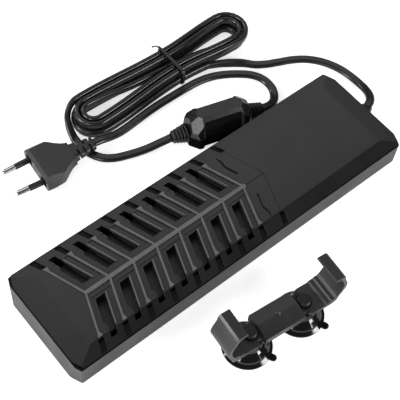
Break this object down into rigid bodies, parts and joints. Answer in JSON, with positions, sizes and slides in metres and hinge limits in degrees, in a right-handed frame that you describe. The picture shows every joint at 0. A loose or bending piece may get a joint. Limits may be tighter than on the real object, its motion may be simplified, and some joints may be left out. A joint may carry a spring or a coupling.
{
  "type": "submersible aquarium heater",
  "caption": "Flat submersible aquarium heater with chevron water grille, flat mains lead in a tied hank, inline control box, two-pin plug and a clamp bracket on suction cups.",
  "frame": {"origin": "centre of the heater's flat back face, on the surface it lies on", "axes": "+X along the heater towards its display end, +Z out of its front, +Y towards the cord side"},
  "size_m": [0.2753, 0.2169, 0.0445],
  "materials": {
    "shell_plastic": "fine spark texture",
    "cover_plastic": "fine spark texture",
    "bar_ceramic": "black coated heating bar",
    "seal_rubber": "soft seal",
    "bright_metal": "bright",
    "wire_cover": "heat proof sleeve",
    "board": "green solder mask",
    "module_plastic": "moulded",
    "relay_plastic": "moulded",
    "can_metal": "drawn and extruded",
    "cord_rubber": "smooth cord cover",
    "tie_plastic": "wire tie cover",
    "box_plastic": "smooth moulded",
    "plug_plastic": "smooth moulded",
    "pin_metal": "nickel plated",
    "bracket_plastic": "satin moulded",
    "cup_rubber": "smooth glossy"
  },
  "bodies": {
    "heater": {"rear_shell": "shell_plastic", "front_grille": "cover_plastic", "control_cover": "cover_plastic", "bulkhead": "shell_plastic", "compartment_seal": "seal_rubber", "heating_bar_left": "bar_ceramic", "heating_bar_right": "bar_ceramic", "bar_end_caps": "seal_rubber", "bar_cradles": "shell_plastic", "temperature_probe": "bright_metal", "heater_wires": "wire_cover", "control_board": "board", "display_modules": "module_plastic", "power_relay": "relay_plastic", "smoothing_capacitor": "can_metal", "triac_heat_sink": "can_metal", "touch_pads": "seal_rubber", "case_screws": "bright_metal", "cord_gland": "cord_rubber", "lead_heater": "cord_rubber", "lead_hank": "cord_rubber", "lead_control_box": "cord_rubber", "twist_tie": "tie_plastic", "box_base": "box_plastic", "box_top": "box_plastic", "box_board": "board", "box_screws": "bright_metal", "box_relief_left": "cord_rubber", "box_relief_right": "cord_rubber", "lead_plug": "cord_rubber", "plug_body": "plug_plastic", "plug_boot": "cord_rubber", "plug_pins": "pin_metal", "pin_sleeves": "plug_plastic"},
    "bracket": {"bracket_sleeve": "bracket_plastic"},
    "left_jaw": {"jaw_left": "bracket_plastic"},
    "right_jaw": {"jaw_right": "bracket_plastic"},
    "left_cup": {"suction_cup_left": "cup_rubber", "cup_collar_left": "bracket_plastic"},
    "right_cup": {"suction_cup_right": "cup_rubber", "cup_collar_right": "bracket_plastic"}
  },
  "joints": [
    {"name": "bracket_lift", "type": "slide", "parent": "heater", "child": "bracket", "axis": [0, 0, 1], "range_m": [0, 0.12]},
    {"name": "left_jaw_slide", "type": "slide", "parent": "bracket", "child": "left_jaw", "axis": [-0.9945, 0.1045, 0], "range_m": [-0.0005, 0.006]},
    {"name": "right_jaw_slide", "type": "slide", "parent": "bracket", "child": "right_jaw", "axis": [0.9945, -0.1045, 0], "range_m": [-0.0005, 0.006]},
    {"name": "left_cup_turn", "type": "hinge", "parent": "left_jaw", "child": "left_cup", "pos_m": [-0.0366, -0.07327, 0], "axis": [0, 0, 1], "continuous": true},
    {"name": "right_cup_turn", "type": "hinge", "parent": "right_jaw", "child": "right_cup", "pos_m": [0.0002, -0.07713, 0], "axis": [0, 0, 1], "continuous": true}
  ]
}
